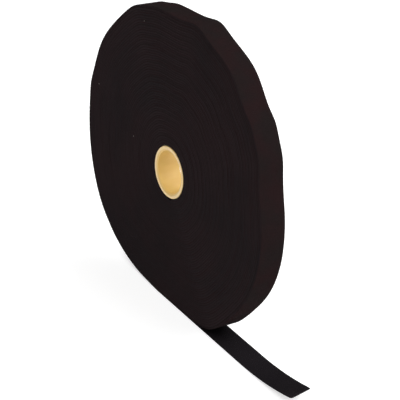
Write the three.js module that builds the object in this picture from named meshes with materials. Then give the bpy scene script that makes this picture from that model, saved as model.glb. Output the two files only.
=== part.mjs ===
// A roll of hook and loop tape. Black tape, a loop ribbon and a hook ribbon bonded back to back, is wound
// on a moulded core. The roll is soft: it stands on the flat that its own weight presses into it, and the
// tape's free end runs out from under it along the table and curls up a little.
// Millimetres, +Z up. The origin is on the table, straight below the middle of the roll's round, midway
// across the tape. The roll's axis runs along Y, and the free end points along +X.

import * as THREE from "three";

// Core
const core_bore_diameter = 32.8;
const core_wall = 3.5;
const core_lead_in = 1.6; // how far the mouth of the bore opens out, on the radius
const core_lead_in_depth = 0.8;
const core_edge_break = 0.3;
const core_segments = 72;
const core_ahead = 0.5; // how far the core has settled in the soft winding, towards the free end
const core_drop = 1.5; // and downwards

// Tape
const tape_width = 20;
const loop_ribbon_thickness = 0.65;
const hook_ribbon_thickness = 0.55;
const bond_line = 0.1; // the film of adhesive between the two ribbons
const selvedge_taper = 0.3; // how far each ribbon's faces stop short of its selvedge

// Starter tab, which holds the tape's inner end on the core
const tab_length = 25;
const tab_inset = 1.5; // from each edge of the core
const tab_thickness = 0.5;
const tab_film = 0.1; // the tab's adhesive, on both its faces
const tab_angle = 1.2; // where the tab starts on the core, in radians
const tab_steps = 12;
const tab_clear_steps = 2; // the winding's steps past each end of the tab that still clear it

// Winding
const turn_count = 58;
const turn_gap = 0.459; // filled by the pile and hooks that mesh between one turn and the next
const core_seat_gap = 0.3;
const foot_sag = 16.2; // how far the roll's weight lowers the middle of its round
const foot_cut = 0.5; // how deep the table cuts the roll's outline
const lap_length = 38; // how far the tape runs on below the outer turn's start
const lap_end_gap = 0.4; // between the start of the outer turn and the turn that it goes on from
const turn_steps = 120; // in one full turn
const back_squareness = 10; // how sharply the outline turns up off the table: a higher power is sharper
const tail_squareness = 27;
const back_angle = -110; // degrees: below these the outline has the one squareness or the other
const tail_angle = -75;
const lap_blend = 4; // the power that joins the outer turn's start to the outline
const normal_step = 1e-4; // radians, for the direction across the outline
const gap_samples = 8; // measured points in each step of the outer turn

// The soft winding's bulges and slack. Each row is an angle round the middle and a spread, both in degrees,
// and a height as a share of the winding's pitch.
const bulge_shares = [
  [-132, 13, -1.4],
  [-109, 6, 0.5],
  [-40, 13, -1.3],
  [21, 21, -2.7],
  [27, 8, 2.7],
  [37, 5, 1.7],
  [55, 9, 1.5],
  [78, 6, 1.7],
  [92, 15, -2.3],
  [111, 5, -0.8],
  [116, 10, 1.1],
  [148, 11, 1.0],
  [168, 6, 0.8],
];

// Free end
const tail_lead_length = 7.2; // from where the round of the roll meets the table to the first bend
const tail_stretch_length = 25; // from one bend to the next
const tail_stretches = 4;
const tail_flat_length = 40; // how much of it lies on the table before the curl
const tail_curl_radius = 250;
const tail_cut_skew = 5; // how much longer the near edge is than the far one
const bend_gap = 0.6; // between one stretch and the next
const stretch_steps = 6;

// What follows from the sizes above
const core_bore_radius = core_bore_diameter / 2;
const core_radius = core_bore_radius + core_wall;
const tape_thickness = loop_ribbon_thickness + bond_line + hook_ribbon_thickness;
const pitch = tape_thickness + turn_gap;
const winding_bore_radius = core_radius + core_seat_gap;
const roll_radius = winding_bore_radius + turn_count * pitch;
const middle_height = roll_radius - foot_sag;
const core_place = new THREE.Vector2(core_ahead, -core_drop); // from the middle of the roll's round
const tab_outer_radius = core_radius + tab_film + tab_thickness;
const foot_half_length = Math.sqrt(roll_radius ** 2 - middle_height ** 2);
const tail_start = foot_half_length + tail_lead_length;
const lap_start = tail_start - lap_length;

// Materials
function tapeMaterial(color) {
  return new THREE.MeshStandardMaterial({ color, roughness: 0.95, metalness: 0 });
}

function coreMaterial() {
  return new THREE.MeshStandardMaterial({ color: 0xe3c98f, roughness: 0.35, metalness: 0 });
}

function tabMaterial() {
  return new THREE.MeshStandardMaterial({ color: 0xcfc6ae, roughness: 0.7, metalness: 0 });
}

const loop_color = 0x241b1c;
const hook_color = 0x1c191b;

// Outline of the roll
function smoothStep(value, from, to) {
  const t = THREE.MathUtils.clamp((value - from) / (to - from), 0, 1);
  return t * t * (3 - 2 * t);
}

function wrapDegrees(degrees) {
  return THREE.MathUtils.euclideanModulo(degrees + 180, 360) - 180;
}

function bulge(degrees) {
  let height = 0;
  for (const [angle, spread, share] of bulge_shares) {
    const offset = wrapDegrees(degrees - angle) / spread;
    height += share * pitch * Math.exp(-offset * offset);
  }
  return height;
}

// How far the roll's outer face is from the middle: a circle that flattens towards the table, with its bulges.
function outlineRadius(theta) {
  const degrees = wrapDegrees(THREE.MathUtils.radToDeg(theta));
  const down = -Math.sin(theta);
  if (down <= 0) return roll_radius + bulge(degrees);
  const towards_tail = smoothStep(degrees, back_angle, tail_angle);
  const power = THREE.MathUtils.lerp(back_squareness, tail_squareness, towards_tail);
  const table_line = (middle_height + foot_cut) / down;
  const eased = (roll_radius ** -power + table_line ** -power) ** (-1 / power);
  return Math.min(eased + bulge(degrees), middle_height / down);
}

// The outer turn sets off along the foot, on top of the tape that leaves below it, and ends on the table.
// Its path is followed by the angle round the middle, and has one full turn and the stretch to the free end.
const full_turn = 2 * Math.PI;

function tableAngle(x) {
  return Math.atan2(-middle_height, x);
}

const path_start = tableAngle(lap_start);
const path_end = tableAngle(tail_start) + full_turn;
const last_lap = path_start + full_turn - THREE.MathUtils.degToRad(tail_angle - back_angle) / 2;

function outerFace(theta) {
  const direction = new THREE.Vector2(Math.cos(theta), Math.sin(theta));
  const outline = outlineRadius(theta);
  if (theta > last_lap) {
    // The tape stays down on the table, where the outline of the turn above it lifts away.
    const on_table = middle_height / -direction.y;
    const down = smoothStep(theta, last_lap, path_start + full_turn);
    return direction.multiplyScalar(THREE.MathUtils.lerp(outline, on_table, down));
  }
  const point = direction.multiplyScalar(outline);
  if (theta < 0) {
    const lift = Math.max(point.y + middle_height, 0);
    point.y = (lift ** lap_blend + pitch ** lap_blend) ** (1 / lap_blend) - middle_height;
  }
  return point;
}

function outerNormal(theta) {
  const ahead = outerFace(Math.min(theta + normal_step, path_end));
  const behind = outerFace(Math.max(theta - normal_step, path_start));
  const along = ahead.sub(behind).normalize();
  return new THREE.Vector2(-along.y, along.x);
}

function windingStation(theta) {
  return { point: outerFace(theta), inward: outerNormal(theta) };
}

// Ribbons
// A station is a point of the ribbon's outer face, in the XZ plane, with the direction of its thickness.
// A ring has six corners there: two faces, and a selvedge drawn to a ridge on each side.
function ribbonRing(stationAt, along, outer_depth, inner_depth, width, skew = 0) {
  const half = width / 2;
  const face = half - selvedge_taper;
  const middle = (outer_depth + inner_depth) / 2;
  const corners = [
    [-half, middle],
    [-face, outer_depth],
    [face, outer_depth],
    [half, middle],
    [face, inner_depth],
    [-face, inner_depth],
  ];
  return corners.map(([across, depth]) => {
    const { point, inward } = stationAt(along - (skew * across) / width);
    return new THREE.Vector3(point.x + inward.x * depth, across, point.y + inward.y * depth);
  });
}

// The triangles between each ring and the next; rings that share a corner have one triangle there.
function sideTriangles(rings) {
  const triangles = [];
  const sides = rings[0].length;
  for (let i = 0; i + 1 < rings.length; i++) {
    for (let j = 0; j < sides; j++) {
      const k = (j + 1) % sides;
      triangles.push([rings[i][j], rings[i + 1][k], rings[i + 1][j]]);
      triangles.push([rings[i][j], rings[i][k], rings[i + 1][k]]);
    }
  }
  return triangles.filter((corners) => new Set(corners).size === 3);
}

function surface(triangles) {
  const geometry = new THREE.BufferGeometry().setFromPoints(triangles.flat());
  geometry.computeVertexNormals();
  return geometry;
}

function ribbonGeometry(rings) {
  const first = rings[0];
  const last = rings[rings.length - 1];
  const ends = [];
  for (let j = 1; j + 1 < first.length; j++) {
    ends.push([first[0], first[j + 1], first[j]]);
    ends.push([last[0], last[j], last[j + 1]]);
  }
  return surface([...sideTriangles(rings), ...ends]);
}

function addMesh(group, name, geometry, material) {
  const mesh = new THREE.Mesh(geometry, material);
  mesh.name = name;
  group.add(mesh);
}

const ribbons = [
  { name: "loop_ribbon", outer: 0, inner: loop_ribbon_thickness, color: loop_color },
  { name: "hook_ribbon", outer: loop_ribbon_thickness + bond_line, inner: tape_thickness, color: hook_color },
];

// Core and starter tab
function coreGeometry() {
  const half = tape_width / 2;
  const mouth = core_bore_radius + core_lead_in;
  const profile = [
    [core_radius - core_edge_break, -half],
    [core_radius, -half + core_edge_break],
    [core_radius, half - core_edge_break],
    [core_radius - core_edge_break, half],
    [mouth, half],
    [core_bore_radius, half - core_lead_in_depth],
    [core_bore_radius, -half + core_lead_in_depth],
    [mouth, -half],
    [core_radius - core_edge_break, -half],
  ];
  const points = profile.map(([radius, along]) => new THREE.Vector2(radius, along));
  return new THREE.LatheGeometry(points, core_segments);
}

function tabStation(theta) {
  const out = new THREE.Vector2(Math.cos(theta), Math.sin(theta));
  return { point: out.clone().multiplyScalar(tab_outer_radius), inward: out.negate() };
}

function tabGeometry() {
  const sweep = tab_length / tab_outer_radius;
  const rings = [];
  for (let i = 0; i <= tab_steps; i++) {
    const theta = tab_angle + (sweep * i) / tab_steps;
    rings.push(ribbonRing(tabStation, theta, 0, tab_thickness, tape_width - 2 * tab_inset));
  }
  return ribbonGeometry(rings);
}

// Inner turns of the winding, with a hollow over the tab and the step where the outer turn sets off
function windingBore(theta) {
  const clear = (tab_clear_steps * full_turn) / turn_steps;
  const past_tab = THREE.MathUtils.euclideanModulo(theta - tab_angle + clear, full_turn);
  const over_tab = past_tab < tab_length / tab_outer_radius + 2 * clear;
  const radius = over_tab ? tab_outer_radius + tab_film : winding_bore_radius;
  return new THREE.Vector2(Math.cos(theta), Math.sin(theta)).multiplyScalar(radius).add(core_place);
}

function woundTapeGeometry() {
  const half = tape_width / 2;
  const rings = [];
  for (let i = 0; i <= turn_steps; i++) {
    const theta = path_start + (full_turn * i) / turn_steps;
    const { point, inward } = windingStation(theta);
    const outer = point.addScaledVector(inward, pitch);
    const inner = windingBore(theta);
    rings.push([
      new THREE.Vector3(outer.x, -half, outer.y),
      new THREE.Vector3(outer.x, half, outer.y),
      new THREE.Vector3(inner.x, half, inner.y),
      new THREE.Vector3(inner.x, -half, inner.y),
    ]);
  }
  const [first, last] = [rings[0], rings[turn_steps]];
  rings[turn_steps] = [last[0], last[1], first[2], first[3]];
  return surface([...sideTriangles(rings), ...sideTriangles([rings[turn_steps], first])]);
}

// The outer turn's stations, from the step on the inner turns to the free end
function outerTurnAngles() {
  const start = tableAngle(lap_start + lap_end_gap);
  const end = tableAngle(tail_start - bend_gap / 2) + full_turn;
  const steps = Math.ceil(((end - start) / full_turn) * turn_steps);
  return Array.from({ length: steps + 1 }, (_, i) => start + ((end - start) * i) / steps);
}

function outerTurnGeometry(outer_depth, inner_depth) {
  const angles = outerTurnAngles();
  return ribbonGeometry(
    angles.map((theta) => ribbonRing(windingStation, theta, outer_depth, inner_depth, tape_width)),
  );
}

// The least gap between the outer turn's start and what runs under it on the last lap, measured on points
function leastGap(outer_depth, inner_depth) {
  const faceAt = (theta, depth) => {
    const { point, inward } = windingStation(theta);
    return point.addScaledVector(inward, depth);
  };
  const angles = outerTurnAngles();
  const start = [];
  const finish = [];
  for (const theta of angles) {
    for (let i = 0; i < gap_samples; i++) {
      const at = theta + (full_turn * i) / (turn_steps * gap_samples);
      if (at < path_start + full_turn / 4) start.push(faceAt(at, outer_depth));
      if (at > path_end - full_turn / 4 && at <= path_end) finish.push(faceAt(at, inner_depth));
    }
  }
  let least = Infinity;
  const nearest = new THREE.Vector3();
  for (let i = 0; i + 1 < finish.length; i++) {
    const from = new THREE.Vector3(finish[i].x, 0, finish[i].y);
    const to = new THREE.Vector3(finish[i + 1].x, 0, finish[i + 1].y);
    const edge = new THREE.Line3(from, to);
    for (const { x, y } of start) {
      const point = new THREE.Vector3(x, 0, y);
      least = Math.min(least, edge.closestPointToPoint(point, true, nearest).distanceTo(point));
    }
  }
  return least;
}

// Free end
// Its path starts flat on the table and goes on into one gentle curl.
function tailStation(along) {
  const heading = Math.max(along - tail_flat_length, 0) / tail_curl_radius;
  const flat = Math.min(along, tail_flat_length);
  const x = flat + tail_curl_radius * Math.sin(heading);
  const z = tail_curl_radius * (1 - Math.cos(heading));
  const inward = new THREE.Vector2(-Math.sin(heading), Math.cos(heading));
  return { point: new THREE.Vector2(x, z), inward, heading };
}

// A bend's axis lies halfway through the tape.
function bendAt(index) {
  const { point, inward, heading } = tailStation(index * tail_stretch_length);
  return { axis: point.addScaledVector(inward, tape_thickness / 2), heading };
}

// The stations of a stretch, seen from the bend that it turns on
function stretchStation(index) {
  const { axis, heading } = bendAt(index);
  return (along) => {
    const station = tailStation(along);
    return {
      point: station.point.sub(axis).rotateAround(new THREE.Vector2(), -heading),
      inward: station.inward.rotateAround(new THREE.Vector2(), -heading),
    };
  };
}

function tailStretchGeometry(index, outer_depth, inner_depth) {
  const is_last = index === tail_stretches - 1;
  const start = index * tail_stretch_length + bend_gap / 2;
  const end = (index + 1) * tail_stretch_length - (is_last ? 0 : bend_gap / 2);
  const stationAt = stretchStation(index);
  const rings = [];
  for (let i = 0; i <= stretch_steps; i++) {
    const along = start + ((end - start) * i) / stretch_steps;
    const skew = is_last && i === stretch_steps ? tail_cut_skew : 0;
    rings.push(ribbonRing(stationAt, along, outer_depth, inner_depth, tape_width, skew));
  }
  return ribbonGeometry(rings);
}

// Each stretch's group sits on its bend, inside the group of the stretch before it.
function addTail(parent) {
  let carrier = parent;
  let before = { axis: new THREE.Vector2(), heading: 0 };
  for (let index = 0; index < tail_stretches; index++) {
    const bend = bendAt(index);
    const stretch = new THREE.Group();
    const place = bend.axis.clone().sub(before.axis).rotateAround(new THREE.Vector2(), -before.heading);
    stretch.position.set(place.x, 0, place.y);
    stretch.rotation.y = before.heading - bend.heading;
    for (const { name, outer, inner, color } of ribbons) {
      const geometry = tailStretchGeometry(index, outer, inner);
      addMesh(stretch, `tail_${index + 1}_${name}`, geometry, tapeMaterial(color));
    }
    carrier.add(stretch);
    carrier = stretch;
    before = bend;
  }
}

// Assembly
const roll = new THREE.Group();

const winding = new THREE.Group();
winding.position.z = middle_height;
roll.add(winding);

const core = new THREE.Group();
core.position.set(core_place.x, 0, core_place.y);
winding.add(core);

addMesh(core, "core_tube", coreGeometry(), coreMaterial());
addMesh(core, "starter_tab", tabGeometry(), tabMaterial());
addMesh(winding, "wound_tape", woundTapeGeometry(), tapeMaterial(loop_color));
for (const { name, outer, inner, color } of ribbons) {
  addMesh(winding, `outer_turn_${name}`, outerTurnGeometry(outer, inner), tapeMaterial(color));
  console.log(`outer_turn_${name}: least gap to itself ${leastGap(outer, inner).toFixed(2)} mm`);
}
console.log(`outer turn, whole tape: least gap to itself ${leastGap(0, tape_thickness).toFixed(2)} mm`);

const tail = new THREE.Group();
tail.position.x = tail_start;
roll.add(tail);
addTail(tail);

export default roll;
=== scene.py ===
# Looks of a roll of hook and loop tape: black tape, a loop ribbon and a hook ribbon bonded back to back and
# wound on a cream core. The roll stands on its foot, and the tape's free end runs out along the table.
# Metres, +Z up. The roll's axis runs along Y, and the free end points along +X.

import math

import bpy
import numpy as np
from mathutils import Matrix, Vector


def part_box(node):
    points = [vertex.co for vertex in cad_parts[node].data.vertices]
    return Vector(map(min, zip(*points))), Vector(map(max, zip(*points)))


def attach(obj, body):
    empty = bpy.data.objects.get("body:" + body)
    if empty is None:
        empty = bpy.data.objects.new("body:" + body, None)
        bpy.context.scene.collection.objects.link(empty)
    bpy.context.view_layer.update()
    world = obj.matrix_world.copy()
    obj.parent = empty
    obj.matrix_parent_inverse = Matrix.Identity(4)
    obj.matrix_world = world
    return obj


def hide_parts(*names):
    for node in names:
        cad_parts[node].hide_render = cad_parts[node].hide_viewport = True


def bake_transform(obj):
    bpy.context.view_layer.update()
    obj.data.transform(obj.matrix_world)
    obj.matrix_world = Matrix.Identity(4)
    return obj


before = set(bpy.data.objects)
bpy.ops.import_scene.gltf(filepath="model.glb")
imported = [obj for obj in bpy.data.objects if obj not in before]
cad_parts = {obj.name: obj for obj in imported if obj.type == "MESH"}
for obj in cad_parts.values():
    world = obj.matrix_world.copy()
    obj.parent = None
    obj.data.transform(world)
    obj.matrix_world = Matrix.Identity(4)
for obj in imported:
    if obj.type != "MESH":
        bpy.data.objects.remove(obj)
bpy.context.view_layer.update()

MM = 0.001
FULL_TURN = 2 * math.pi
TINY = 1e-12  # keeps a division by a length away from zero

# Sizes that the frame gives
core_low, core_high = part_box("core_tube")
TAPE_WIDTH = core_high.y - core_low.y
HALF_WIDTH = TAPE_WIDTH / 2
CORE_RADIUS = (core_high.x - core_low.x) / 2

# Core
CORE_WALL = 3.5 * MM
BORE_RADIUS = CORE_RADIUS - CORE_WALL
LEAD_IN = 1.6 * MM
LEAD_IN_DEPTH = 0.8 * MM
CORE_EDGE_BREAK = 0.3 * MM
CORE_AHEAD, CORE_DROP = 0.5 * MM, 1.5 * MM  # how far it has settled from the middle of the roll's round
CORE_PLACE = np.array([CORE_AHEAD, -CORE_DROP])
MIDDLE_HEIGHT = (core_low.z + core_high.z) / 2 + CORE_DROP
CORE_EDGE_ROUND = 0.12 * MM
CORE_SEGMENTS = 160
CORE_WAVER = 0.015 * MM
CORE_WAVES = [(1.0, 3, 0.4), (0.6, 7, 2.0)]  # how it is out of round: a share, its waves round, their phase
ARC_SHARE = 0.4  # the most of a side that a corner's arc takes

# Tape
LOOP_RIBBON_THICKNESS = 0.65 * MM
HOOK_RIBBON_THICKNESS = 0.55 * MM
BOND_LINE = 0.1 * MM
TAPE_THICKNESS = LOOP_RIBBON_THICKNESS + BOND_LINE + HOOK_RIBBON_THICKNESS
BACKING_THICKNESS = 0.32 * MM  # the woven part of each ribbon
SELVEDGE = 0.3 * MM  # how far the pile and the hooks stop short of the edge
WOUND_SELVEDGE = 0.1 * MM  # the same between two turns, where they press together and spread
EDGE_ROUND = 0.12 * MM
WOUND_EDGE_ROUND = 0.06 * MM
PICK_PITCH = 1.1 * MM  # from one scallop of the selvedge to the next
SCALLOP = 0.035 * MM
SELVEDGE_WAVER_STEP = 12 * MM
SELVEDGE_WAVER = 0.04 * MM

# Winding
TURNS = 58
TURN_GAP = 0.459 * MM
PITCH = TAPE_THICKNESS + TURN_GAP
CORE_SEAT_GAP = 0.3 * MM
WINDING_BORE_RADIUS = CORE_RADIUS + CORE_SEAT_GAP
ROLL_RADIUS = WINDING_BORE_RADIUS + TURNS * PITCH
FOOT_CUT = 0.5 * MM  # how deep the table cuts the roll's outline
LAP_LENGTH = 38 * MM  # how far the tape runs on below the outer turn's start
BACK_SQUARENESS, TAIL_SQUARENESS = 10, 27  # how sharply the outline turns up off the table
BACK_ANGLE, TAIL_ANGLE = -110, -75  # degrees, between which it goes from one to the other
LAP_BLEND = 4  # the power that joins the outer turn's start to the outline
SOFT_TURNS = 3  # the outer turns that the winding's squeeze spares
LAP_TURNS = 12  # how many turns in the steps at the tape's two ends fade out
CLIMB = 0.08  # the last part of a turn, near the core, in which the tape climbs onto the turn before it
SETTLING = 0.1  # the last part of the wound turns, in which their waver fades out to meet the outer turn
ROUTE_POINTS = 4000  # on the outer turn's path
STEPS_A_TURN = 360  # to measure the winding's length
WINDING_STEP = 2.6 * MM
WAVER_STEP = 45 * MM
EDGE_WAVER = 0.05 * MM
TURN_WAVER_SHARE = 0.05
FIELD_WAVER = 0.02 * MM

# The soft winding's bulges and slack. Each row is an angle round the middle and a spread, both in degrees,
# and a height as a share of the pitch.
BULGE_SHARES = np.array([
    [-132, 13, -1.4],
    [-109, 6, 0.5],
    [-40, 13, -1.3],
    [21, 21, -2.7],
    [27, 8, 2.7],
    [37, 5, 1.7],
    [55, 9, 1.5],
    [78, 6, 1.7],
    [92, 15, -2.3],
    [111, 5, -0.8],
    [116, 10, 1.1],
    [148, 11, 1.0],
    [168, 6, 0.8],
])

# Free end
FOOT_HALF_LENGTH = math.sqrt(ROLL_RADIUS**2 - MIDDLE_HEIGHT**2)
TAIL_LEAD_LENGTH = 7.2 * MM
TAIL_START = FOOT_HALF_LENGTH + TAIL_LEAD_LENGTH
LAP_START = TAIL_START - LAP_LENGTH
STRETCH_LENGTH = 25 * MM
STRETCHES = 4
TAIL_LENGTH = STRETCHES * STRETCH_LENGTH
TAIL_FLAT_LENGTH = 40 * MM
TAIL_CURL_RADIUS = 250 * MM
TAIL_POINTS = 400  # on the free end's path
TAIL_CUT_SKEW = 5 * MM  # how much longer the near edge is than the far one
CUT_SKEW_REACH = 9 * MM
HOOKS_FREE = 12 * MM  # how far before the first bend the tape's hooks let go of the pile above them
LETTING_GO = 3 * MM
CORNER_ROUND = 2.4 * MM  # the near corner of the cut
ROUND_SHARE = 0.98  # a rounded corner stops a little short of its end, and leaves it blunt
BEND_REACH = 7 * MM  # how far to each side of a bend two points are laid on the tape
FOOT_REACH = 58 * MM  # how far before the first bend, below the roll, the free end's stretches begin
FINE_STEP, OUTER_STEP = 0.35 * MM, 0.8 * MM  # between two stations of the free end, and of the outer turn
BOND_END_GAP = 0.2 * MM  # what stops short of each stretch's end or of the cut
PILE_END_GAP = 0.5 * MM
HOOKS_END_GAP = 0.7 * MM
OUTER_PILE_START = 0.8 * MM
OUTER_PILE_PIECES = 3

# Starter tab
TAB_LENGTH = 25 * MM
TAB_INSET = 1.5 * MM
TAB_THICKNESS = 0.5 * MM
TAB_FILM = 0.1 * MM
TAB_ANGLE = 1.2  # where it starts round the core, in radians
TAB_SWEEP = TAB_LENGTH / (CORE_RADIUS + TAB_FILM + TAB_THICKNESS)
TAB_LIFT = TAB_THICKNESS + 2 * TAB_FILM - CORE_SEAT_GAP
TAB_RISE = 0.2  # the part of the tab's length in which the winding rises onto it
TAB_CORNER_ROUND = 3 * MM
TAB_STATIONS = 41

# Where chance starts from, for each thing that it decides
SEEDS = {
    "turns": 11,
    "turn_edges": 12,
    "loop_ribbon": 21,
    "hook_ribbon": 22,
    "bond_film": 23,
    "side_fibres": 31,
    "outer_pile": 40,
    "tail_pile": 50,
    "hooks": 60,
    "lint": 71,
}


# Materials

class Wire:
    """A value that changes over a surface. Sums on it add the Math nodes that work them out."""

    def __init__(self, finish, socket):
        self.finish = finish
        self.socket = socket

    def maths(self, operation, *values):
        return self.finish.node("ShaderNodeMath", {"operation": operation}, dict(enumerate(values)))

    def __add__(self, other):
        return self.maths("ADD", self, other)

    def __sub__(self, other):
        return self.maths("SUBTRACT", self, other)

    def __mul__(self, other):
        return self.maths("MULTIPLY", self, other)

    def size(self):
        return self.maths("ABSOLUTE", self)

    def wave(self, length):
        return self.maths("SINE", self * (FULL_TURN / length))


class Finish:
    """A material of one Principled shader, and the one way that any other node comes into it."""

    def __init__(self, name, **uniform):
        self.material = bpy.data.materials.new(name)
        self.material.use_nodes = True
        self.tree = self.material.node_tree
        self.shader = self.tree.nodes["Principled BSDF"]
        for key, value in uniform.items():
            self.shader.inputs[key.replace("_", " ")].default_value = value

    def node(self, kind, settings=None, inputs=None, output=0):
        made = self.tree.nodes.new(kind)
        for key, value in (settings or {}).items():
            setattr(made, key, value)
        for key, value in (inputs or {}).items():
            self.feed(made.inputs[key], value)
        return Wire(self, made.outputs[output])

    def feed(self, socket, value):
        if isinstance(value, Wire):
            self.tree.links.new(value.socket, socket)
        else:
            socket.default_value = value

    def paint(self, **sockets):
        for key, value in sockets.items():
            self.feed(self.shader.inputs[key.replace("_", " ")], value)

    def place(self):
        """Where a point is on the tape it belongs to: along it, across it and through it, in metres."""
        return self.node("ShaderNodeAttribute", {"attribute_name": "tape_place"}, output="Vector")

    def object_place(self):
        return self.node("ShaderNodeTexCoord", output="Object")

    def parts(self, vector):
        split = self.node("ShaderNodeSeparateXYZ", inputs={0: vector}).socket.node
        return [Wire(self, socket) for socket in split.outputs]

    def noise(self, place, size, detail=2.0):
        inputs = {"Vector": place, "Scale": 1 / size, "Detail": detail}
        return self.node("ShaderNodeTexNoise", None, inputs, "Fac")

    def stretched(self, place, scale):
        return self.node("ShaderNodeVectorMath", {"operation": "MULTIPLY"}, {0: place, 1: scale})

    def spread(self, value, low, high, to_low=0.0, to_high=1.0):
        """Takes a value between low and high to one between to_low and to_high, and keeps it there beyond."""
        ends = {"Value": value, 1: low, 2: high, 3: to_low, 4: to_high}
        return self.node("ShaderNodeMapRange", {"interpolation_type": "SMOOTHSTEP"}, ends)

    def between(self, share, first, second):
        return self.node("ShaderNodeMix", {"data_type": "RGBA"}, {0: share, 6: first, 7: second}, 2)

    def clouded(self, cloud, first, second):
        return self.between(self.spread(cloud, 0.35, 0.65), first, second)

    def bump(self, height, distance):
        return self.node("ShaderNodeBump", None, {"Height": height, "Distance": distance, "Strength": 1.0})


def colour(red, green, blue):
    """A colour given as it shows on a screen, from 0 to 255, as the linear light that a shader takes."""
    shown = np.array([red, green, blue]) / 255
    return (*np.where(shown > 0.04045, ((shown + 0.055) / 1.055) ** 2.4, shown / 12.92), 1.0)


def pile_finish():
    """The loop ribbon's brushed pile: soft, brown in the black, with no shine of its own. A darker tone that
    the tuft noise lays on is painted shade, and a lighter one on its fibres is painted sheen.
    """
    finish = Finish("loop_pile", Roughness=1.0, Specular_IOR_Level=0.02)
    # The third colour is painted shade and the fourth is painted sheen.
    black, brown, painted_tuft_shade, painted_fibre_sheen = (
        colour(28, 23, 23), colour(34, 21, 22), colour(22, 16, 17), colour(50, 42, 42))
    cloud_size, tuft_size, fibre_size, height = 22 * MM, 0.7 * MM, 0.2 * MM, 0.18 * MM
    place = finish.place()
    cloud = finish.noise(place, cloud_size, 3.0)
    tuft = finish.noise(place, tuft_size, 4.0)
    fibre = finish.noise(finish.stretched(place, (1, 1.6, 1)), fibre_size, 3.0)
    shade = finish.clouded(cloud, black, brown)
    # Painted shade: darker where the tuft noise is high.
    shade = finish.between(finish.spread(tuft, 0.3, 0.7, to_high=0.45), shade, painted_tuft_shade)
    # Painted sheen: lighter where the fibre noise is high.
    shade = finish.between(finish.spread(fibre, 0.4, 0.7, to_high=0.3), shade, painted_fibre_sheen)
    finish.paint(Base_Color=shade, Normal=finish.bump(tuft + fibre * 0.5, height))
    return finish.material


def backing_finish(name, first, second):
    """Woven nylon: fine picks across the ribbon, over and under the warp."""
    finish = Finish(name, Specular_IOR_Level=0.03)
    # Painted shade: a darker tone that the fibre noise lays over the weave.
    painted_fibre_shade = colour(20, 16, 18)
    pick, warp, fibre_size, cloud_size, height = 0.62 * MM, 0.5 * MM, 0.5 * MM, 60 * MM, 0.07 * MM
    place = finish.place()
    along, across, _ = finish.parts(place)
    weave = along.wave(pick) * across.wave(warp)
    fibre = finish.noise(finish.stretched(place, (1, 3, 3)), fibre_size, 4.0)
    cloud = finish.noise(finish.object_place(), cloud_size)
    shade = finish.clouded(cloud, first, second)
    shade = finish.between(finish.spread(fibre, 0.35, 0.75, to_high=0.3), shade, painted_fibre_shade)
    finish.paint(Base_Color=shade, Roughness=finish.spread(fibre, 0.2, 0.8, 0.75, 0.95))
    finish.paint(Normal=finish.bump(weave * 0.35 + fibre, height))
    return finish.material


def hook_finish():
    """The hooks' nylon monofilament."""
    finish = Finish("hook_filament", Specular_IOR_Level=0.06)
    cloud_size = 6 * MM
    cloud = finish.noise(finish.place(), cloud_size)
    finish.paint(Base_Color=finish.clouded(cloud, colour(20, 17, 20), colour(25, 22, 24)))
    finish.paint(Roughness=finish.spread(cloud, 0.3, 0.7, 0.45, 0.65))
    return finish.material


def core_finish():
    """Cream plastic, a little milky. Painted light makes its rims' faces and its mouths paler, and painted
    shade makes the bore's inside a darker amber.
    """
    finish = Finish("core_plastic", Specular_IOR_Level=0.35, Subsurface_Weight=0.1, Subsurface_Scale=1.5 * MM)
    finish.shader.inputs["Subsurface Radius"].default_value = (1.0, 0.6, 0.25)
    # The two ambers vary at random and are darker than the mouths, as painted shade inside the bore; the
    # third colour is painted light on the lead-ins' mouths, and the fourth is painted light on the rims'
    # faces.
    amber, deep_amber, painted_mouth_light_cream, painted_rim_light_cream = (
        colour(208, 174, 101), colour(201, 165, 91), colour(223, 188, 117), colour(236, 205, 148))
    flow_size, scuff_size, height = 9 * MM, 0.8 * MM, 0.02 * MM
    # The last three set where the painted light on the rims' faces starts, where it is full, and how uneven
    # its edge is.
    fade, rim_light_start, rim_light_full, rim_light_uneven = 0.2 * MM, 0.3 * MM, 0.05 * MM, 0.2 * MM
    place = finish.object_place()
    _, across, _ = finish.parts(place)
    from_middle = across.size()
    flow = finish.noise(finish.stretched(place, (1, 0.5, 1)), flow_size)
    scuff = finish.noise(finish.stretched(place, (1, 0.4, 1)), scuff_size, 5.0)
    inside = finish.between(finish.spread(flow, 0.3, 0.7), amber, deep_amber)
    # 1 on the lead-ins, where the mouths are painted paler as painted light, and 0 deeper in the bore, where
    # its inside is painted darker as painted shade.
    mouth = finish.spread(from_middle, HALF_WIDTH - LEAD_IN_DEPTH - fade, HALF_WIDTH - LEAD_IN_DEPTH)
    # The rims' faces are painted paler as painted light, out to an edge that the scuff noise makes uneven.
    rim_light_reach = from_middle + (scuff - 0.5) * rim_light_uneven
    painted_rim_light = finish.spread(rim_light_reach, HALF_WIDTH - rim_light_start, HALF_WIDTH - rim_light_full)
    shade = finish.between(mouth, inside, painted_mouth_light_cream)
    finish.paint(Base_Color=finish.between(painted_rim_light, shade, painted_rim_light_cream))
    finish.paint(Roughness=finish.spread(scuff, 0.35, 0.7, 0.35, 0.55), Normal=finish.bump(scuff, height))
    return finish.material


def tab_finish():
    """The starter tab's paper film."""
    finish = Finish("tab_paper", Roughness=0.75, Specular_IOR_Level=0.3)
    fibre_size, height = 0.6 * MM, 0.03 * MM
    fibre = finish.noise(finish.stretched(finish.object_place(), (1, 0.3, 1)), fibre_size, 5.0)
    shade = finish.between(fibre, colour(214, 205, 182), colour(198, 188, 162))
    finish.paint(Base_Color=shade, Normal=finish.bump(fibre, height))
    return finish.material


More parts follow.
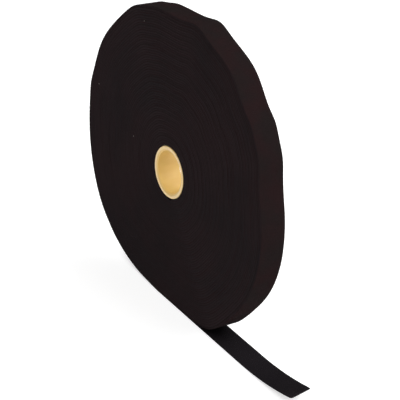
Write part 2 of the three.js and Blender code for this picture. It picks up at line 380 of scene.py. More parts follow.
def bond_finish():
    """The adhesive between the two ribbons: black, smooth where it has run and dull where it is thin."""
    finish = Finish("bond_film", Specular_IOR_Level=0.1)
    run_length = 2 * MM
    runs = finish.noise(finish.stretched(finish.place(), (1, 4, 4)), run_length, 3.0)
    finish.paint(Base_Color=finish.between(runs, colour(27, 23, 25), colour(21, 18, 20)))
    finish.paint(Roughness=finish.spread(runs, 0.3, 0.7, 0.5, 0.8))
    return finish.material


def lint_finish():
    """Pale fluff that the pile has caught."""
    finish = Finish("lint", Roughness=0.9, Sheen_Weight=0.3)
    grain_size = 0.2 * MM
    grain = finish.noise(finish.object_place(), grain_size)
    finish.paint(Base_Color=finish.between(grain, colour(150, 141, 134), colour(118, 110, 106)))
    return finish.material


def floor_finish():
    """A plain white table, lit from inside."""
    finish = Finish("floor", Roughness=0.8, Specular_IOR_Level=0.1, Emission_Strength=FLOOR_GLOW)
    mottle_size = 600 * MM
    mottle = finish.noise(finish.object_place(), mottle_size)
    finish.paint(Base_Color=finish.between(mottle, colour(208, 208, 208), colour(205, 205, 205)))
    return finish.material


# Meshes

def closed_quads(rings, sides, around=False):
    """The faces between rings of corners that follow each other, as numbers of corners."""
    ring = np.arange(rings if around else rings - 1)[:, None]
    here, ahead = ring * sides, (ring + 1) % rings * sides
    side = np.arange(sides)[None, :]
    beside = (side + 1) % sides
    return np.stack([here + side, here + beside, ahead + beside, ahead + side], -1).reshape(-1, 4)


def volume(points, faces):
    """What the faces enclose, below zero if they point inwards."""
    total = 0.0
    for corners in faces:
        first = points[corners[:, 0]]
        for i in range(1, corners.shape[1] - 1):
            second, third = points[corners[:, i]], points[corners[:, i + 1]]
            total += np.einsum("ij,ij->", first, np.cross(second, third)) / 6
    return total


def make_piece(name, points, faces, materials, place=None, finish_of=None, sharp=40):
    """A named mesh. faces holds arrays of corners, one row a face, and finish_of says which material each
    has. place gives each corner its place on the tape. An edge that turns past sharp degrees is crisp."""
    points = np.asarray(points, float).reshape(-1, 3)
    if volume(points, faces) < 0:
        faces = [corners[:, ::-1] for corners in faces]
    mesh = bpy.data.meshes.new(name)
    mesh.from_pydata(points.tolist(), [], [row for corners in faces for row in corners.tolist()])
    for material in materials:
        mesh.materials.append(material)
    mesh.polygons.foreach_set("use_smooth", np.ones(len(mesh.polygons), bool))
    if finish_of is not None:
        mesh.polygons.foreach_set("material_index", np.asarray(finish_of, np.int32))
    if place is not None:
        attribute = mesh.attributes.new("tape_place", "FLOAT_VECTOR", "POINT")
        attribute.data.foreach_set("vector", np.asarray(place, np.float32).ravel())
    mesh.set_sharp_from_angle(angle=math.radians(sharp))
    mesh.update()
    piece = bpy.data.objects.new(name, mesh)
    bpy.context.scene.collection.objects.link(piece)
    return piece


def strand_mesh(lines, radius, sides):
    """One closed tube round each line of points. Each line lies about in one plane."""
    count, steps, _ = lines.shape
    way = np.gradient(lines, axis=1)
    way /= np.linalg.norm(way, axis=2, keepdims=True)
    flat = np.cross(lines[:, steps // 2] - lines[:, 0], lines[:, -1] - lines[:, 0])
    flat /= np.maximum(np.linalg.norm(flat, axis=1, keepdims=True), TINY)
    flat = np.broadcast_to(flat[:, None], lines.shape)
    out = np.cross(flat, way)
    turn = np.arange(sides) * FULL_TURN / sides
    spokes = np.cos(turn)[:, None] * flat[:, :, None] + np.sin(turn)[:, None] * out[:, :, None]
    points = (lines[:, :, None] + radius * spokes).reshape(-1, 3)
    start = np.arange(count) * steps * sides
    walls = (start[:, None, None] + closed_quads(steps, sides)[None]).reshape(-1, 4)
    ring = np.arange(sides)
    first = start[:, None] + ring[::-1]
    last = start[:, None] + (steps - 1) * sides + ring
    return points, [walls, first, last]


# Outline of the roll and route of the tape

def smooth_step(value, low, high):
    """Goes smoothly from 0 at low to 1 at high."""
    t = np.clip((value - low) / (high - low), 0, 1)
    return t * t * (3 - 2 * t)


def wrap_degrees(degrees):
    return (degrees + 180) % 360 - 180


def bulge(degrees):
    """How far the outline stands out at an angle, for all the bulges together."""
    offset = wrap_degrees(degrees[..., None] - BULGE_SHARES[:, 0]) / BULGE_SHARES[:, 1]
    return PITCH * (BULGE_SHARES[:, 2] * np.exp(-(offset**2))).sum(-1)


def outline_radius(theta):
    """How far the outer face is from the middle: a circle that flattens towards the table, with bulges."""
    degrees = wrap_degrees(np.degrees(theta))
    down = np.where(np.sin(theta) < 0, -np.sin(theta), 1.0)
    towards_tail = smooth_step(degrees, BACK_ANGLE, TAIL_ANGLE)
    power = BACK_SQUARENESS + (TAIL_SQUARENESS - BACK_SQUARENESS) * towards_tail
    table_line = (MIDDLE_HEIGHT + FOOT_CUT) / down
    eased = (ROLL_RADIUS**-power + table_line**-power) ** (-1 / power)
    low = np.minimum(eased + bulge(degrees), MIDDLE_HEIGHT / down)
    return np.where(np.sin(theta) < 0, low, ROLL_RADIUS + bulge(degrees))


def table_angle(x):
    return math.atan2(-MIDDLE_HEIGHT, x)


PATH_START = table_angle(LAP_START)
PATH_END = table_angle(TAIL_START) + FULL_TURN
LAST_LAP = PATH_START + FULL_TURN - math.radians(TAIL_ANGLE - BACK_ANGLE) / 2


def outward(theta):
    return np.stack([np.cos(theta), np.sin(theta)], -1)


def pressed_outline(theta):
    """The outline with the last lap held down on the table below the turn above it."""
    outline = outline_radius(theta)
    on_table = MIDDLE_HEIGHT / np.where(theta > LAST_LAP, -np.sin(theta), 1.0)
    down = smooth_step(theta, LAST_LAP, PATH_START + FULL_TURN)
    return np.where(theta > LAST_LAP, outline + (on_table - outline) * down, outline)


def outer_face(theta):
    """The outer turn's path, seen from the side and from the middle: it sets off on the tape that leaves."""
    point = outward(theta) * pressed_outline(theta)[..., None]
    lift = np.maximum(point[..., 1] + MIDDLE_HEIGHT, 0)
    lifted = (lift**LAP_BLEND + PITCH**LAP_BLEND) ** (1 / LAP_BLEND) - MIDDLE_HEIGHT
    point[..., 1] = np.where(theta < 0, lifted, point[..., 1])
    return point


class Route:
    """The line that the tape's outer face follows, seen from the side, by the length along it."""

    def __init__(self, points):
        self.points = points
        self.lengths = np.concatenate([[0], np.cumsum(np.linalg.norm(np.diff(points, axis=0), axis=1))])
        way = np.gradient(points, self.lengths, axis=0)
        way /= np.linalg.norm(way, axis=1, keepdims=True)
        self.inward = np.stack([-way[:, 1], way[:, 0]], -1)
        self.length = self.lengths[-1]

    def read(self, along, table):
        return np.stack([np.interp(along, self.lengths, table[:, i]) for i in range(2)], -1)

    def lay(self, place):
        """Takes places on the tape (along, across, depth from its outer face) to points in space."""
        along, across, depth = np.moveaxis(place, -1, 0)
        flat = self.read(along, self.points) + self.read(along, self.inward) * depth[..., None]
        return np.stack([flat[..., 0], across, flat[..., 1]], -1)


def tail_line():
    """The free end's outer face: flat on the table, and then one gentle curl."""
    along = np.linspace(0, TAIL_LENGTH + TAIL_CUT_SKEW, TAIL_POINTS)[1:]
    heading = np.maximum(along - TAIL_FLAT_LENGTH, 0) / TAIL_CURL_RADIUS
    x = TAIL_START + np.minimum(along, TAIL_FLAT_LENGTH) + TAIL_CURL_RADIUS * np.sin(heading)
    return np.stack([x, TAIL_CURL_RADIUS * (1 - np.cos(heading))], -1)


def free_route():
    """The outer turn and the free end, as one line."""
    turn = outer_face(np.linspace(PATH_START, PATH_END, ROUTE_POINTS)) + [0, MIDDLE_HEIGHT]
    return Route(np.concatenate([turn, tail_line()]))


ROUTE = free_route()
TAIL_FROM = ROUTE.length - TAIL_LENGTH - TAIL_CUT_SKEW  # the first bend, by the length along the route
TAPE_END = TAIL_FROM + TAIL_LENGTH
FOOT_SEAM = TAIL_FROM - FOOT_REACH


def waver(along, step, amount, seed):
    """A smooth random wander along the tape."""
    knots = np.random.default_rng(seed).normal(0, amount, int(along.max() / step) + 3)
    cell = np.clip(along / step, 0, None)
    number = cell.astype(int)
    t = smooth_step(cell - number, 0, 1)
    return knots[number] * (1 - t) + knots[number + 1] * t


# Ribbons

LOOP_BACK = LOOP_RIBBON_THICKNESS  # depths from the tape's outer face
LOOP_FACE = LOOP_BACK - BACKING_THICKNESS
HOOK_BACK = LOOP_BACK + BOND_LINE
HOOK_FACE = HOOK_BACK + BACKING_THICKNESS
PILE_FACE = 0.13 * MM
PRESSED_FACE = -0.4 * MM  # the wound pile stands in among the hooks of the turn above
BOND_INSET = 0.25 * MM  # how far the film stops short of the ribbons' edges
BOND_WET = 0.02 * MM  # how far it has soaked into each ribbon's back
HOOK_GROUND = HOOK_FACE + 0.03 * MM
MESHED_FACE = 1.68 * MM  # how deep the hooks reach into the pile of the turn below
FIELD_RIBS = 7  # corners on each half of the pile's or the hooks' field


def mirrored(corners, repeated):
    """A section's corners, and then some of them again on the tape's other side, in turn."""
    return np.array(corners + [(-across, depth, rise) for across, depth, rise in reversed(repeated)])


def ribbon_section(back, face):
    """A ribbon's cross section, from the middle of its back round by its far edge. Each corner has its place
    across the tape, its depth, and how far it rises with the field of pile or hooks."""
    edge, flat, inner = HALF_WIDTH, HALF_WIDTH - EDGE_ROUND, HALF_WIDTH - SELVEDGE
    bevel = EDGE_ROUND / 3
    bevel_depth = math.copysign(bevel, back - face)
    half = [
        (0, back, 0),
        (flat, back, 0),
        (edge - bevel, back - bevel_depth, 0),
        (edge, (back + face) / 2, 0),
        (edge - bevel, face + bevel_depth, 0),
        (flat, face, 0),
        (inner + EDGE_ROUND / 2, face, 0),
        (inner, face, 0.5),
    ]
    ribs = (inner - EDGE_ROUND / 2) * (1 - 2 * np.arange(FIELD_RIBS + 1) / (2 * FIELD_RIBS + 1))
    half += [(rib, face, 1) for rib in ribs]
    return mirrored(half, half[1:])


def bond_section():
    """The film of adhesive between the two ribbons' backs."""
    edge = HALF_WIDTH - BOND_INSET
    far = [(edge, LOOP_BACK - BOND_WET, 0), (edge, HOOK_BACK + BOND_WET, 0)]
    return mirrored(far, far)


def wound_section(back, face, field):
    """The plainer section of a ribbon that is wound in, with its field pressed flat."""
    flat = HALF_WIDTH - WOUND_EDGE_ROUND
    far = [
        (flat, back, 0),
        (HALF_WIDTH, (back + face) / 2, 0),
        (flat, face, 0),
        (HALF_WIDTH - WOUND_SELVEDGE, field, 1),
    ]
    return mirrored(far, far)


def swept(stations, section):
    """The faces of a section carried along a line, its ends flat, and which of them are the field's."""
    sides = len(section)
    walls = closed_quads(stations, sides)
    ring = np.arange(sides)
    on_field = (section[:, 2] > 0) | (np.roll(section[:, 2], -1) > 0)
    finish_of = np.concatenate([on_field[np.arange(len(walls)) % sides], [False, False]])
    return [walls, ring[None, ::-1], (stations - 1) * sides + ring[None]], finish_of


def winding_stations():
    """The wound turns between the core and the outer turn, as one line: the turns so far and the length."""
    fine = np.arange(STEPS_A_TURN, (TURNS - 1) * STEPS_A_TURN + 1) / STEPS_A_TURN
    rough = (WINDING_BORE_RADIUS + fine * PITCH) * FULL_TURN
    length = np.concatenate([[0], np.cumsum((rough[1:] + rough[:-1]) / 2 * np.diff(fine))])
    along = np.linspace(0, length[-1], round(length[-1] / WINDING_STEP) + 1)
    return np.interp(along, length, fine), along


def winding_depth(turn, theta):
    """How many turns deep below the outline the tape's outer face lies there, and the outline's reach. The
    turns near the core hug it and climb at their end, and the outer ones follow the step where the outer turn
    sets off."""
    reach = pressed_outline(theta)
    height = np.maximum(np.sin(theta) * reach + MIDDLE_HEIGHT, 0)
    step = (height**LAP_BLEND + PITCH**LAP_BLEND) ** (1 / LAP_BLEND) - height
    number = np.floor(turn)
    steady = turn - number
    stepped = np.where(theta < 0, 1 - step / PITCH, 1.0)
    climbed = smooth_step(steady, 1 - CLIMB, 1)
    gained = steady + (stepped - steady) * np.exp(-(TURNS - 1 - number) / LAP_TURNS)
    gained += (climbed - steady) * np.exp(-(number - 1) / LAP_TURNS)
    return TURNS - number - gained, reach


def bore_reach(theta):
    """The winding's bore, a little wider where its first turn passes over the starter tab."""
    past = (theta - TAB_ANGLE) % FULL_TURN / TAB_SWEEP
    over = smooth_step(past, -TAB_RISE, 0) * smooth_step(-past, -1 - TAB_RISE, -1)
    over += smooth_step(past - FULL_TURN / TAB_SWEEP, -TAB_RISE, 0)
    return WINDING_BORE_RADIUS + TAB_LIFT * over


def wound_line(turn):
    """The tape's outer face after so many turns, from the middle, the room down to the turn before it, and
    the angle there."""
    theta = PATH_START + (turn - np.floor(turn)) * FULL_TURN
    depth, reach = winding_depth(turn, theta)
    room = reach - bore_reach(theta)
    squeezed = (room - SOFT_TURNS * PITCH) / (TURNS - SOFT_TURNS)

    def level(turns_deep):
        soft = (PITCH - squeezed) * SOFT_TURNS * (1 - np.exp(-turns_deep / SOFT_TURNS))
        sunk = squeezed * turns_deep + soft
        return outward(theta) * (reach - sunk)[:, None] + CORE_PLACE * (sunk / room)[:, None]

    face = level(depth)
    return face, ((face - level(depth + 1)) * outward(theta)).sum(-1), theta


def add_winding(pile, backing, bond):
    """The wound turns as one unbroken tape, from the core to where the outer turn starts."""
    turn, along = winding_stations()
    face, room, theta = wound_line(turn)
    way = np.gradient(face, axis=0)
    way /= np.linalg.norm(way, axis=1, keepdims=True)
    inward = np.stack([-way[:, 1], way[:, 0]], -1)
    squeeze = room * -(inward * outward(theta)).sum(-1) / PITCH
    loose = 1 - smooth_step(turn, TURNS - 1 - SETTLING, TURNS - 1)
    sway = waver(along, WAVER_STEP, TURN_WAVER_SHARE * PITCH, SEEDS["turns"])
    face = face + inward * (loose * sway)[:, None]
    shift = loose * waver(along, WAVER_STEP, EDGE_WAVER, SEEDS["turn_edges"])
    pieces = [
        ("wound_loop_ribbon", wound_section(LOOP_BACK, LOOP_FACE, PRESSED_FACE), [backing, pile]),
        ("wound_hook_ribbon", wound_section(HOOK_BACK, HOOK_FACE, MESHED_FACE), [backing, backing]),
        ("wound_bond_film", bond_section(), [bond]),
    ]
    for name, section, materials in pieces:
        depth = section[None, :, 1] * squeeze[:, None]
        across = section[None, :, 0] + shift[:, None]
        x = face[:, None, 0] + inward[:, None, 0] * depth
        z = face[:, None, 1] + inward[:, None, 1] * depth + MIDDLE_HEIGHT
        points = np.stack([x, across, z], -1)
        place = np.stack([np.broadcast_to(along[:, None], depth.shape), across, depth], -1)
        faces, finish_of = swept(len(along), section)
        piece = make_piece(name, points, faces, materials, place, finish_of)
        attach(piece, "roll")
        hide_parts("wound_tape")


def rounded_off(share):
    """How far a corner has drawn in, as a share of its radius, at a share of the way into it."""
    return 1 - np.sqrt(1 - ROUND_SHARE * share**2)


def cut_end(place):
    """Skews the tape's cut, and rounds its near corner."""
    along, across, depth = np.moveaxis(place, -1, 0)
    past = smooth_step(along, TAPE_END - CUT_SKEW_REACH, TAPE_END)
    into_corner = np.clip((along - TAPE_END + CORNER_ROUND) / CORNER_ROUND, 0, 1)
    trim = CORNER_ROUND * rounded_off(into_corner)
    across = np.where(across < 0, across * (1 - trim / HALF_WIDTH), across)
    along = along - past * TAIL_CUT_SKEW * across / TAPE_WIDTH
    return np.stack([along, across, depth], -1)


def hooks_held(along):
    """1 where the tape's hooks hold in the pile next to them, and 0 where the tape has left the roll."""
    return 1 - smooth_step(along, TAIL_FROM - HOOKS_FREE - LETTING_GO, TAIL_FROM - HOOKS_FREE)


def pile_held(along):
    """The same for the pile, which holds where the outer turn sets off on the tape that leaves."""
    freed = LAP_LENGTH - HOOKS_FREE - LETTING_GO
    return 1 - smooth_step(along, freed - LETTING_GO, freed)


def edge_line(along, seed):
    """How far a selvedge stands out: the small scallops of its picks and a slow wander."""
    scallop = SCALLOP * np.sin(along * FULL_TURN / PICK_PITCH)
    return scallop + waver(along, SELVEDGE_WAVER_STEP, SELVEDGE_WAVER, seed)


def ribbon_stretch(name, start, stop, section, field, materials, seed, step=FINE_STEP):
    """A stretch of ribbon as one closed mesh, its ends flat and its field uneven. field says how far the pile
    or the hooks rise from the backing where they are free and where they are held, and where that is."""
    steps = max(2, round((stop - start) / step))
    along = np.linspace(start, stop, steps + 1)
    corner_across, corner_depth, rise = section.T
    free_rise, held_rise, held_along = field
    held = held_along(along)[:, None]
    spread = rise * np.sign(corner_across) * (SELVEDGE - WOUND_SELVEDGE) * held
    place = np.zeros((len(along), len(section), 3))
    place[..., 0] = along[:, None]
    place[..., 1] = corner_across * (1 + edge_line(along, seed) / HALF_WIDTH)[:, None] + spread
    place[..., 2] = corner_depth + rise * (free_rise + (held_rise - free_rise) * held)
    uneven = np.random.default_rng(seed).normal(0, FIELD_WAVER, place.shape[:2])
    place[..., 2] += uneven * (rise == 1)
    faces, finish_of = swept(len(along), section)
    return make_piece(name, ROUTE.lay(cut_end(place)), faces, materials, place, finish_of)


BOND_SECTION = bond_section()
LOOP_SECTION = ribbon_section(LOOP_BACK, LOOP_FACE)
HOOK_SECTION = ribbon_section(HOOK_BACK, HOOK_FACE)
PILE_RISE = (PILE_FACE - LOOP_FACE, PRESSED_FACE - LOOP_FACE, pile_held)
HOOK_RISE = (HOOK_GROUND - HOOK_FACE, MESHED_FACE - HOOK_FACE, hooks_held)
NO_FIELD = (0, 0, hooks_held)


# Pile loops, hooks and loose fibres

LOOP_SPACING = 0.95 * MM
LOOP_RADIUS = 0.05 * MM
LOOP_SIDES = 3
LOOP_ARCH_SHARES = np.array([  # of its span, and of its height
    [-0.5, 0.0],
    [-0.46, 0.5],
    [-0.2, 0.95],
    [0.2, 1.0],
    [0.46, 0.55],
    [0.5, 0.0],
])
LOOP_JITTER = 0.5  # of the spacing, each way
LOOP_SPAN = (0.6 * MM, 1.1 * MM)  # the least and the most
LOOP_SINK = (0.02 * MM, 0.1 * MM)  # how far a loop's top stays below the tape's outer face
LOOP_LEAN = 0.22 * MM

HOOK_ALONG, HOOK_ACROSS = 1.5 * MM, 1.3 * MM
HOOK_RADIUS = 0.075 * MM
HOOK_SIDES = 5
HOOK_JITTER = 0.12
HOOK_MARGIN = 0.2 * MM
HOOK_BEND = np.array([  # how far a hook reaches forward and up
    [0, -0.06],
    [0, 0.24],
    [0.03, 0.4],
    [0.13, 0.52],
    [0.27, 0.52],
    [0.36, 0.42],
    [0.35, 0.31],
]) * MM
HOOK_SIZE_SHARES = (0.9, 1.08)
HOOK_TURN = 0.3  # radians

SIDE_FIBRES = 4000
FIBRE_TURNS = TURNS - 2.01  # from the first turn to just before the outer one
FIBRE_RADIUS = 0.03 * MM
FIBRE_SIDES = 3
FIBRE_STEPS = 5
FIBRE_LENGTH = (0.3 * MM, 0.75 * MM)
FIBRE_DEPTH = (-0.1 * MM, 0.2 * MM)  # from the tape's outer face
FIBRE_ROOT = 0.5 * MM  # how far inside the winding's side a fibre starts and ends
FIBRE_STAND = 0.16 * MM  # the most that one stands out from the side

LINT_PLACES = [(110.6 * MM, 113), (111.3 * MM, 165), (51.8 * MM, 172.5)]  # from the middle, and degrees
LINT_FIBRES = 5
LINT_POINTS = 8
LINT_STEP = 0.3 * MM
LINT_RADIUS = 0.04 * MM
LINT_SIDES = 4
LINT_LIFT = 0.1 * MM
LINT_FLATNESS = 0.3  # how deep a speck is, of its width


def scatter(start, stop, steps, jitter, seed, margin=0.0):
    """Places in staggered rows over the tape between two lengths, each a little off its spot. steps are the
    spacing along the tape and across it, and jitter is a share of them."""
    random = np.random.default_rng(seed)
    half = HALF_WIDTH - SELVEDGE - margin
    along_step, across_step = steps
    rows = max(1, int((stop - start) / along_step))
    columns = max(1, int(2 * half / across_step))
    row, column = np.meshgrid(np.arange(rows), np.arange(columns), indexing="ij")
    along = start + (row + 0.5) * (stop - start) / rows
    across = -half + (column + 0.25 + 0.5 * (row % 2)) * 2 * half / columns
    along = along + random.uniform(-jitter, jitter, along.shape) * along_step
    across = across + random.uniform(-jitter, jitter, across.shape) * across_step
    return along.ravel(), np.clip(across.ravel(), -half, half), random


def strands_on_tape(name, centres, lines, radius, sides, material):
    """Strands whose lines are offsets (along, across, depth) from their centres on the tape."""
    place = centres[:, None] + lines
    points, faces = strand_mesh(ROUTE.lay(cut_end(place)), radius, sides)
    own = np.repeat(np.repeat(centres, lines.shape[1], axis=0), sides, axis=0)
    return make_piece(name, points, faces, [material], own, sharp=80)


def add_pile(name, start, stop, seed, material):
    """The loops of the pile: small arches that lean every way."""
    along, across, random = scatter(start, stop, (LOOP_SPACING, LOOP_SPACING), LOOP_JITTER, seed)
    count = len(along)
    span = random.uniform(*LOOP_SPAN, count)
    rise = LOOP_FACE - LOOP_RADIUS - random.uniform(*LOOP_SINK, count)
    turn = random.uniform(0, FULL_TURN, count)
    lean = random.normal(0, LOOP_LEAN, count)
    foot = LOOP_ARCH_SHARES[None, :, 0] * span[:, None]
    height = LOOP_ARCH_SHARES[None, :, 1]
    run = foot * np.cos(turn)[:, None] - height * lean[:, None] * np.sin(turn)[:, None]
    side = foot * np.sin(turn)[:, None] + height * lean[:, None] * np.cos(turn)[:, None]
    lines = np.stack([run, side, -height * rise[:, None]], -1)
    centres = np.stack([along, across, np.full(count, LOOP_FACE)], -1)
    return strands_on_tape(name, centres, lines, LOOP_RADIUS, LOOP_SIDES, material)


def add_hooks(name, start, stop, seed, material):
    """Rows of hooks, each a bent nylon bristle. About every other row points back."""
    spacing = (HOOK_ALONG, HOOK_ACROSS)
    along, across, random = scatter(start, stop, spacing, HOOK_JITTER, seed, HOOK_MARGIN)
    keep = along < TAPE_END - HOOKS_END_GAP
    along, across = along[keep], across[keep]
    count = len(along)
    size = random.uniform(*HOOK_SIZE_SHARES, count)
    turned_back = np.floor(along / HOOK_ALONG) % 2 > 0
    turn = random.normal(0, HOOK_TURN, count) + np.where(turned_back, math.pi, 0)
    reach = HOOK_BEND[None, :, 0] * size[:, None]
    height = HOOK_BEND[None, :, 1] * size[:, None]
    lines = np.stack([reach * np.cos(turn)[:, None], reach * np.sin(turn)[:, None], height], -1)
    centres = np.stack([along, across, np.full(count, HOOK_FACE)], -1)
    return strands_on_tape(name, centres, lines, HOOK_RADIUS, HOOK_SIDES, material)


def add_side_fibres(material):
    """Fibres of the pile that stand out between the turns, on both sides of the winding."""
    random = np.random.default_rng(SEEDS["side_fibres"])
    count = SIDE_FIBRES
    turn = 1 + np.sqrt(random.uniform(0, 1, count)) * FIBRE_TURNS
    face, _, theta = wound_line(turn)
    base = face - outward(theta) * random.uniform(*FIBRE_DEPTH, count)[:, None]
    side = np.where(random.uniform(0, 1, count) < 0.5, -1.0, 1.0)
    length = random.uniform(*FIBRE_LENGTH, count)
    lie = random.uniform(0, FULL_TURN, count)
    steps = np.linspace(0, 1, FIBRE_STEPS)
    bow = np.sqrt(np.sin(steps * math.pi))
    stand = FIBRE_ROOT + random.uniform(0.0, FIBRE_STAND, count)
    out = HALF_WIDTH - FIBRE_ROOT + stand[:, None] * bow[None]
    drift = (steps[None] - 0.5) * length[:, None]
    x = base[:, 0, None] + drift * np.cos(lie)[:, None]
    z = base[:, 1, None] + drift * np.sin(lie)[:, None] + MIDDLE_HEIGHT
    lines = np.stack([x, side[:, None] * out, z], -1)
    points, faces = strand_mesh(lines, FIBRE_RADIUS, FIBRE_SIDES)
    place = np.repeat(lines.reshape(-1, 3), FIBRE_SIDES, axis=0)
    piece = make_piece("side_fibres", points, faces, [material], place, sharp=80)
    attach(piece, "roll")


def add_lint(material):
    """Specks of pale fluff on the near side, each a few tangled fibres."""
    random = np.random.default_rng(SEEDS["lint"])
    lines = []
    for reach, angle in LINT_PLACES:
        middle = outward(math.radians(angle)) * reach
        for _ in range(LINT_FIBRES):
            walk = np.cumsum(random.normal(0, LINT_STEP, (LINT_POINTS, 3)), axis=0)
            walk -= walk.mean(0)
            x, z = middle[0] + walk[:, 0], middle[1] + walk[:, 2] + MIDDLE_HEIGHT
            lines.append(np.stack([x, -HALF_WIDTH - LINT_LIFT + LINT_FLATNESS * walk[:, 1], z], -1))
    points, faces = strand_mesh(np.array(lines), LINT_RADIUS, LINT_SIDES)
    piece = make_piece("lint", points, faces, [material], sharp=80)
    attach(piece, "roll")


# Core and starter tab

CORE_MIDDLE = np.array([CORE_AHEAD, 0, MIDDLE_HEIGHT - CORE_DROP])
TAB_SECTION_SHARES = [  # of half its width, and of its thickness
    (-1, 0.5),
    (-0.98, 0.9),
    (-0.95, 1),
    (0.95, 1),
    (0.98, 0.9),
    (1, 0.5),
    (0.95, 0),
    (-0.95, 0),
]


def rounded(corners, radius, steps=3):
    """A closed outline with each corner turned into a small arc."""
    corners = np.array(corners, float)
    made = []
    for before, corner, after in zip(np.roll(corners, 1, 0), corners, np.roll(corners, -1, 0)):
        start = corner + (before - corner) * min(ARC_SHARE, radius / np.linalg.norm(before - corner))
        stop = corner + (after - corner) * min(ARC_SHARE, radius / np.linalg.norm(after - corner))
        for t in np.linspace(0, 1, steps + 1):
            made.append((1 - t) ** 2 * start + 2 * t * (1 - t) * corner + t**2 * stop)
    return np.array(made)


def add_core(material):
    """The moulded tube, with its lead-ins and its edges rounded, a little out of round."""
    mouth = BORE_RADIUS + LEAD_IN
    half = [(CORE_RADIUS, 0.0), (CORE_RADIUS, HALF_WIDTH - CORE_EDGE_BREAK)]
    half += [(CORE_RADIUS - CORE_EDGE_BREAK, HALF_WIDTH), (mouth, HALF_WIDTH)]
    half += [(BORE_RADIUS, HALF_WIDTH - LEAD_IN_DEPTH), (BORE_RADIUS, 0.0)]
    corners = half + [(radius, -along) for radius, along in half[-2:0:-1]]
    profile = rounded(corners, CORE_EDGE_ROUND)
    theta = np.arange(CORE_SEGMENTS) * FULL_TURN / CORE_SEGMENTS
    wobble = CORE_WAVER * sum(share * np.sin(waves * theta + phase) for share, waves, phase in CORE_WAVES)
    radius = profile[None, :, 0] + wobble[:, None]
    points = np.stack([
        radius * np.cos(theta)[:, None],
        np.broadcast_to(profile[None, :, 1], radius.shape),
        radius * np.sin(theta)[:, None],
    ], -1) + CORE_MIDDLE
    faces = [closed_quads(CORE_SEGMENTS, len(profile), around=True)]
    piece = make_piece("core_moulding", points, faces, [material], sharp=60)
    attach(piece, "roll")
    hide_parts("core_tube")


def add_starter_tab(material):
    """A strip of film round the core under the first turn, with its corners cut round."""
    half = HALF_WIDTH - TAB_INSET
    inner, outer = CORE_RADIUS + TAB_FILM, CORE_RADIUS + TAB_FILM + TAB_THICKNESS
    share = np.linspace(0, 1, TAB_STATIONS)
    from_end = np.minimum(share, 1 - share) * TAB_LENGTH
    into_corner = np.clip(1 - from_end / TAB_CORNER_ROUND, 0, 1)
    width = half - TAB_CORNER_ROUND * rounded_off(into_corner)
    section = np.array(TAB_SECTION_SHARES)
    theta = TAB_ANGLE + share * TAB_SWEEP
    radius = inner + section[None, :, 1] * (outer - inner) + np.zeros((len(theta), 1))
    across = section[None, :, 0] * width[:, None]
    points = np.stack([radius * np.cos(theta)[:, None], across, radius * np.sin(theta)[:, None]], -1)
    points += CORE_MIDDLE
    sides = len(section)
    ring = np.arange(sides)
    faces = [closed_quads(len(theta), sides), ring[None, ::-1], (len(theta) - 1) * sides + ring[None]]
    piece = make_piece("starter_tab_film", points, faces, [material])
    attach(piece, "roll")
    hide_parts("starter_tab")


# Outer turn and free end

def three_layers(stem, start, stop, loop_materials, hook_materials, bond, step=FINE_STEP, film_gap=0):
    """A stretch of the tape: its loop ribbon, its hook ribbon and the film between them."""
    loop = ribbon_stretch(f"{stem}_loop_cloth", start, stop, LOOP_SECTION, PILE_RISE, loop_materials,
                          SEEDS["loop_ribbon"], step)
    hook = ribbon_stretch(f"{stem}_hook_cloth", start, stop, HOOK_SECTION, HOOK_RISE, hook_materials,
                          SEEDS["hook_ribbon"], step)
    film = ribbon_stretch(f"{stem}_bond_film", start, stop - film_gap, BOND_SECTION, NO_FIELD, [bond],
                          SEEDS["bond_film"], step)
    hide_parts(f"{stem}_loop_ribbon")
    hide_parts(f"{stem}_hook_ribbon")
    return loop, hook, film


def add_outer_turn(pile, backing, bond):
    """The outer turn, from its start above the foot to where the free end's stretches begin."""
    loop, hook, film = three_layers("outer_turn", 0, FOOT_SEAM, [backing, pile], [backing, backing], bond,
                                    OUTER_STEP)
    cuts = np.linspace(OUTER_PILE_START, FOOT_SEAM, OUTER_PILE_PIECES + 1)
    tufts = []
    for number, (start, stop) in enumerate(zip(cuts[:-1], cuts[1:]), 1):
        seed = SEEDS["outer_pile"] + number
        tufts.append(add_pile(f"outer_turn_pile_{number}", start, stop, seed, pile))
    for piece in (hook, film, loop, *tufts):
        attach(piece, "roll")


def add_tail(pile, loop_backing, hook_backing, filament, bond):
    """Four stretches, each centred on a bend and cut halfway to the next one."""
    bodies = ["roll"] + [f"tail_{number + 1}" for number in range(STRETCHES)]
    for index in range(STRETCHES):
        bend = TAIL_FROM + index * STRETCH_LENGTH
        start = FOOT_SEAM if index == 0 else bend - STRETCH_LENGTH / 2
        stop = TAPE_END if index == STRETCHES - 1 else bend + STRETCH_LENGTH / 2
        stem = bodies[index + 1]
        loop, hook, film = three_layers(stem, start, stop, [loop_backing, pile], [hook_backing, hook_backing],
                                        bond, film_gap=BOND_END_GAP)
        pile_to = min(stop, TAPE_END - PILE_END_GAP)
        tufts = add_pile(f"{stem}_pile", start, pile_to, SEEDS["tail_pile"] + index, pile)
        hooks_from = max(start, TAIL_FROM - HOOKS_FREE)
        hooks = add_hooks(f"{stem}_hooks", hooks_from, stop, SEEDS["hooks"] + index, filament)
        flexing = [(bend + reach, 0, TAPE_THICKNESS / 2) for reach in (-BEND_REACH, BEND_REACH)]
        before, after = ROUTE.lay(np.array(flexing))
        on_loops, on_hooks = (loop, tufts), (hook, hooks, film)
        for piece in on_loops + on_hooks:
            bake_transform(piece)


# Studio

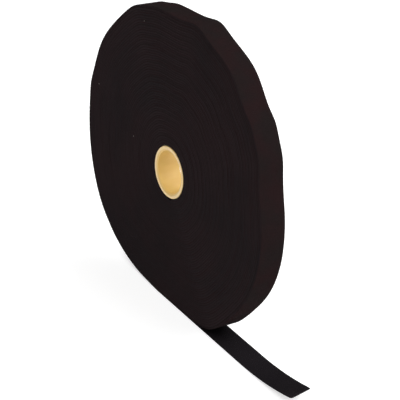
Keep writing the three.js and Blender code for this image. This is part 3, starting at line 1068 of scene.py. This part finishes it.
PHOTO_SIDE = 400  # pixels
FOCAL_LENGTH = 1407  # pixels
ROLL_MIDDLE = (179.84, 168.0)  # the pixel that shows the middle of the roll's round
CAMERA_AZIMUTH, CAMERA_ELEVATION, CAMERA_ROLL = 55.92, 26.49, 3.81  # degrees
CAMERA_DISTANCE = 1040.49 * MM
SENSOR = 36.0  # the camera's own width of film
CLIP_NEAR, CLIP_FAR = 0.05, 50  # metres
SKY_STRENGTH = 0.15
FLOOR_GLOW = 0.66  # the floor is a lit table
FLOOR_REACH = 30.0  # metres each way
LIGHTS = [  # name, place, size across and power
    ("front", (0.7, -0.8, 1.9), 1.4, 20),
    ("top", (0.3, 0.1, 2.2), 1.4, 3),
    ("back", (0.35, 1.3, 1.5), 3.0, 46),
    ("back_low", (-0.6, 1.6, 0.7), 1.6, 7),
    ("right", (1.3, 0.9, 0.9), 1.6, 10),
]


def add_camera():
    """The photo's camera: back points from the roll towards it, and the roll is off the picture's middle."""
    azimuth, elevation, roll = (math.radians(a) for a in (CAMERA_AZIMUTH, CAMERA_ELEVATION, CAMERA_ROLL))
    flat = math.cos(elevation)
    back = Vector((math.sin(azimuth) * flat, -math.cos(azimuth) * flat, math.sin(elevation)))
    level = Vector((math.cos(azimuth), math.sin(azimuth), 0))
    upright = back.cross(level)
    right = math.cos(roll) * level + math.sin(roll) * upright
    up = math.cos(roll) * upright - math.sin(roll) * level
    off_right = (ROLL_MIDDLE[0] - PHOTO_SIDE / 2) / FOCAL_LENGTH
    off_up = (PHOTO_SIDE / 2 - ROLL_MIDDLE[1]) / FOCAL_LENGTH
    place = Vector((0, 0, MIDDLE_HEIGHT)) + CAMERA_DISTANCE * (back - off_right * right - off_up * up)
    camera = bpy.data.objects.new("camera", bpy.data.cameras.new("camera"))
    camera.data.sensor_width = SENSOR
    camera.data.lens = SENSOR * FOCAL_LENGTH / PHOTO_SIDE
    camera.data.clip_start, camera.data.clip_end = CLIP_NEAR, CLIP_FAR
    camera.matrix_world = Matrix.Translation(place) @ Matrix((right, up, back)).transposed().to_4x4()
    bpy.context.scene.collection.objects.link(camera)
    bpy.context.scene.camera = camera


def add_light(name, place, target, size, power):
    """A round soft light that shines at the target."""
    light = bpy.data.lights.new(name, "AREA")
    light.shape, light.size, light.energy = "DISK", size, power
    lamp = bpy.data.objects.new(name, light)
    lamp.location = place
    lamp.rotation_mode = "QUATERNION"
    lamp.rotation_quaternion = (Vector(target) - Vector(place)).to_track_quat("-Z", "Y")
    bpy.context.scene.collection.objects.link(lamp)


def add_studio(material):
    """The table, the sky and the lights."""
    corners = np.array([(-1, -1, 0), (1, -1, 0), (1, 1, 0), (-1, 1, 0)]) * FLOOR_REACH
    floor = make_piece("floor", corners, [np.array([[0, 1, 2, 3]])], [material])
    world = bpy.data.worlds.new("studio")
    world.use_nodes = True
    sky = world.node_tree.nodes["Background"]
    sky.inputs["Color"].default_value = (1.0, 1.0, 1.0, 1.0)
    sky.inputs["Strength"].default_value = SKY_STRENGTH
    bpy.context.scene.world = world
    for name, place, size, power in LIGHTS:
        add_light(name, place, (0, 0, MIDDLE_HEIGHT), size, power)
    bpy.context.scene.view_settings.view_transform = "Standard"


# Assembly

def build():
    add_camera()
    pile = pile_finish()
    loop_backing = backing_finish("loop_backing", colour(32, 27, 29), colour(38, 29, 31))
    hook_backing = backing_finish("hook_backing", colour(23, 20, 23), colour(28, 25, 28))
    filament = hook_finish()
    bond = bond_finish()
    add_core(core_finish())
    add_starter_tab(tab_finish())
    add_winding(pile, loop_backing, bond)
    add_outer_turn(pile, loop_backing, bond)
    add_tail(pile, loop_backing, hook_backing, filament, bond)
    add_side_fibres(pile)
    add_lint(lint_finish())
    add_studio(floor_finish())


build()
